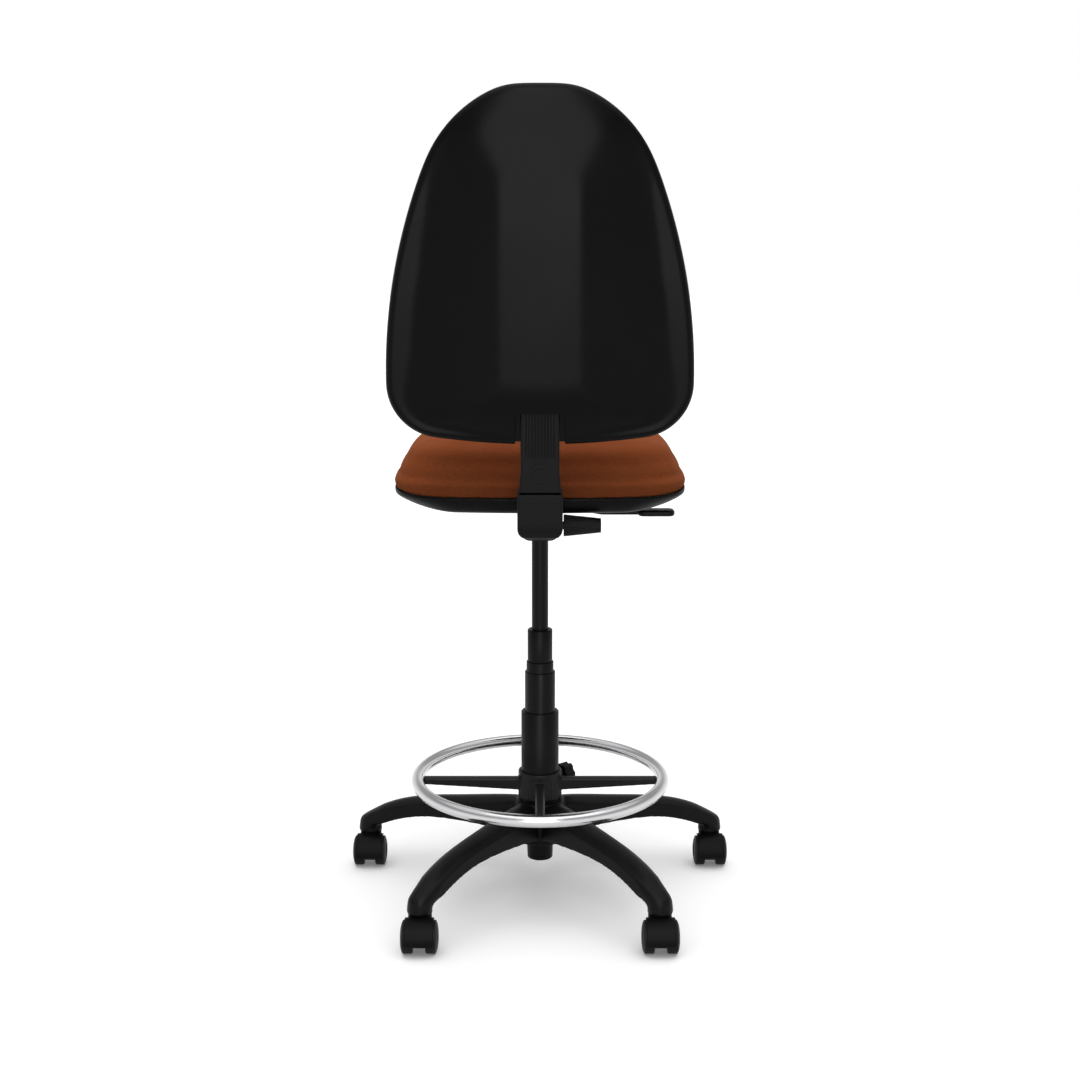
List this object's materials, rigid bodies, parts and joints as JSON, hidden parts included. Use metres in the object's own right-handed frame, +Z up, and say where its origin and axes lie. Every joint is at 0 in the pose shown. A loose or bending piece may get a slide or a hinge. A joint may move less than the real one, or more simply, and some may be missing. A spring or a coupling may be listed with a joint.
{
  "type": "adjustable swivel stool",
  "caption": "Draughtsman's swivel chair with padded seat and tilting high back, gas lift column, chromed foot ring and castor base.",
  "frame": {"origin": "on the floor, under the column's axis", "axes": "+Z up along the column, -Y the way the sitter faces, +X to the sitter's left"},
  "size_m": [0.6464, 0.6519, 1.2636],
  "materials": {
    "black_nylon": "satin",
    "black_steel": "satin",
    "chrome": "polished",
    "steel": "satin",
    "rubber": "matte",
    "plywood": "matte",
    "orange_fabric": "matte",
    "wheel_plastic": "satin"
  },
  "bodies": {
    "base": {"base_star": "black_nylon", "column_tube": "black_steel", "column_sleeve": "black_nylon", "guide_bush": "black_nylon", "guide_sleeve": "black_nylon", "thrust_bearing": "steel"},
    "piston": {"piston_rod": "steel", "retaining_clip": "steel", "bump_stop": "rubber"},
    "seat": {"gas_cylinder": "black_steel", "mechanism_housing": "black_steel", "seat_plate": "black_steel", "seat_board": "plywood", "seat_pan": "black_nylon", "seat_cushion": "orange_fabric", "seat_bolts": "steel", "tilt_spindle": "steel"},
    "lift_lever": {"lift_lever": "black_steel", "lever_paddle": "black_nylon"},
    "valve_button": {"valve_button": "steel"},
    "tilt_knob": {"tilt_knob": "black_nylon"},
    "back_stem": {"back_bar": "black_steel", "stem_cover": "black_nylon", "stem_boot": "black_nylon", "stem_cap": "black_nylon"},
    "back": {"back_slider": "black_nylon", "back_board": "plywood", "back_cushion": "orange_fabric", "back_shell": "black_nylon", "back_screws": "steel"},
    "foot_ring_bush": {"foot_ring_bush": "black_nylon"},
    "foot_ring": {"foot_ring": "chrome", "foot_ring_hub": "black_nylon"},
    "ring_knob": {"ring_knob": "black_nylon", "ring_stud": "steel"},
    "castor_1": {"castor_1_hood": "black_nylon", "castor_1_stem": "steel", "castor_1_axle": "steel"},
    "castor_1_wheel_left": {"castor_1_wheel_left": "wheel_plastic"},
    "castor_1_wheel_right": {"castor_1_wheel_right": "wheel_plastic"},
    "castor_2": {"castor_2_hood": "black_nylon", "castor_2_stem": "steel", "castor_2_axle": "steel"},
    "castor_2_wheel_left": {"castor_2_wheel_left": "wheel_plastic"},
    "castor_2_wheel_right": {"castor_2_wheel_right": "wheel_plastic"},
    "castor_3": {"castor_3_hood": "black_nylon", "castor_3_stem": "steel", "castor_3_axle": "steel"},
    "castor_3_wheel_left": {"castor_3_wheel_left": "wheel_plastic"},
    "castor_3_wheel_right": {"castor_3_wheel_right": "wheel_plastic"},
    "castor_4": {"castor_4_hood": "black_nylon", "castor_4_stem": "steel", "castor_4_axle": "steel"},
    "castor_4_wheel_left": {"castor_4_wheel_left": "wheel_plastic"},
    "castor_4_wheel_right": {"castor_4_wheel_right": "wheel_plastic"},
    "castor_5": {"castor_5_hood": "black_nylon", "castor_5_stem": "steel", "castor_5_axle": "steel"},
    "castor_5_wheel_left": {"castor_5_wheel_left": "wheel_plastic"},
    "castor_5_wheel_right": {"castor_5_wheel_right": "wheel_plastic"}
  },
  "joints": [
    {"name": "seat_swivel", "type": "hinge", "parent": "base", "child": "piston", "pos_m": [0, 0, 0.06], "axis": [0, 0, 1], "continuous": true},
    {"name": "seat_lift", "type": "slide", "parent": "piston", "child": "seat", "axis": [0, 0, 1], "range_m": [-0.15, 0.095]},
    {"name": "lift_lever", "type": "hinge", "parent": "seat", "child": "lift_lever", "pos_m": [-0.021, 0, 0.6434], "axis": [0, 1, 0], "range_deg": [0, 6], "stiffness_Nm_per_rad": 3, "springref_deg": -8.59},
    {"name": "valve_button", "type": "slide", "parent": "seat", "child": "valve_button", "axis": [0, 0, 1], "range_m": [-0.0028, 0]},
    {"name": "back_tilt", "type": "hinge", "parent": "seat", "child": "back_stem", "pos_m": [0, 0.172, 0.6388], "axis": [-1, 0, 0], "range_deg": [-4, 14]},
    {"name": "tilt_knob", "type": "hinge", "parent": "seat", "child": "tilt_knob", "pos_m": [0, 0.172, 0.6388], "axis": [-1, 0, 0], "range_deg": [0, 540]},
    {"name": "back_height", "type": "slide", "parent": "back_stem", "child": "back", "axis": [0, 0.1045, 0.9945], "range_m": [-0.015, 0.045]},
    {"name": "foot_ring_height", "type": "slide", "parent": "base", "child": "foot_ring_bush", "axis": [0, 0, 1], "range_m": [0, 0.095]},
    {"name": "foot_ring_turn", "type": "hinge", "parent": "foot_ring_bush", "child": "foot_ring", "pos_m": [0, 0, 0.184], "axis": [0, 0, 1], "continuous": true},
    {"name": "ring_knob", "type": "hinge", "parent": "foot_ring", "child": "ring_knob", "pos_m": [-0.04137, -0.03471, 0.18], "axis": [-0.766, -0.6428, 0], "range_deg": [0, 540]},
    {"name": "castor_1_swivel", "type": "hinge", "parent": "base", "child": "castor_1", "pos_m": [0.18221, 0.25079, 0.06], "axis": [0, 0, 1], "continuous": true},
    {"name": "castor_1_wheel_left_spin", "type": "hinge", "parent": "castor_1", "child": "castor_1_wheel_left", "pos_m": [0.18221, 0.2688, 0.025], "axis": [1, 0, 0], "continuous": true},
    {"name": "castor_1_wheel_right_spin", "type": "hinge", "parent": "castor_1", "child": "castor_1_wheel_right", "pos_m": [0.18221, 0.2688, 0.025], "axis": [1, 0, 0], "continuous": true},
    {"name": "castor_2_swivel", "type": "hinge", "parent": "base", "child": "castor_2", "pos_m": [-0.18221, 0.25079, 0.06], "axis": [0, 0, 1], "continuous": true},
    {"name": "castor_2_wheel_left_spin", "type": "hinge", "parent": "castor_2", "child": "castor_2_wheel_left", "pos_m": [-0.18221, 0.2688, 0.025], "axis": [1, 0, 0], "continuous": true},
    {"name": "castor_2_wheel_right_spin", "type": "hinge", "parent": "castor_2", "child": "castor_2_wheel_right", "pos_m": [-0.18221, 0.2688, 0.025], "axis": [1, 0, 0], "continuous": true},
    {"name": "castor_3_swivel", "type": "hinge", "parent": "base", "child": "castor_3", "pos_m": [-0.29483, -0.0958, 0.06], "axis": [0, 0, 1], "continuous": true},
    {"name": "castor_3_wheel_left_spin", "type": "hinge", "parent": "castor_3", "child": "castor_3_wheel_left", "pos_m": [-0.29483, -0.0778, 0.025], "axis": [1, 0, 0], "continuous": true},
    {"name": "castor_3_wheel_right_spin", "type": "hinge", "parent": "castor_3", "child": "castor_3_wheel_right", "pos_m": [-0.29483, -0.0778, 0.025], "axis": [1, 0, 0], "continuous": true},
    {"name": "castor_4_swivel", "type": "hinge", "parent": "base", "child": "castor_4", "pos_m": [0, -0.31, 0.06], "axis": [0, 0, 1], "continuous": true},
    {"name": "castor_4_wheel_left_spin", "type": "hinge", "parent": "castor_4", "child": "castor_4_wheel_left", "pos_m": [0, -0.292, 0.025], "axis": [1, 0, 0], "continuous": true},
    {"name": "castor_4_wheel_right_spin", "type": "hinge", "parent": "castor_4", "child": "castor_4_wheel_right", "pos_m": [0, -0.292, 0.025], "axis": [1, 0, 0], "continuous": true},
    {"name": "castor_5_swivel", "type": "hinge", "parent": "base", "child": "castor_5", "pos_m": [0.29483, -0.0958, 0.06], "axis": [0, 0, 1], "continuous": true},
    {"name": "castor_5_wheel_left_spin", "type": "hinge", "parent": "castor_5", "child": "castor_5_wheel_left", "pos_m": [0.29483, -0.0778, 0.025], "axis": [1, 0, 0], "continuous": true},
    {"name": "castor_5_wheel_right_spin", "type": "hinge", "parent": "castor_5", "child": "castor_5_wheel_right", "pos_m": [0.29483, -0.0778, 0.025], "axis": [1, 0, 0], "continuous": true}
  ],
  "couplings": [
    {"joint": "valve_button", "follows": "lift_lever", "m_per_rad": -0.024}
  ]
}
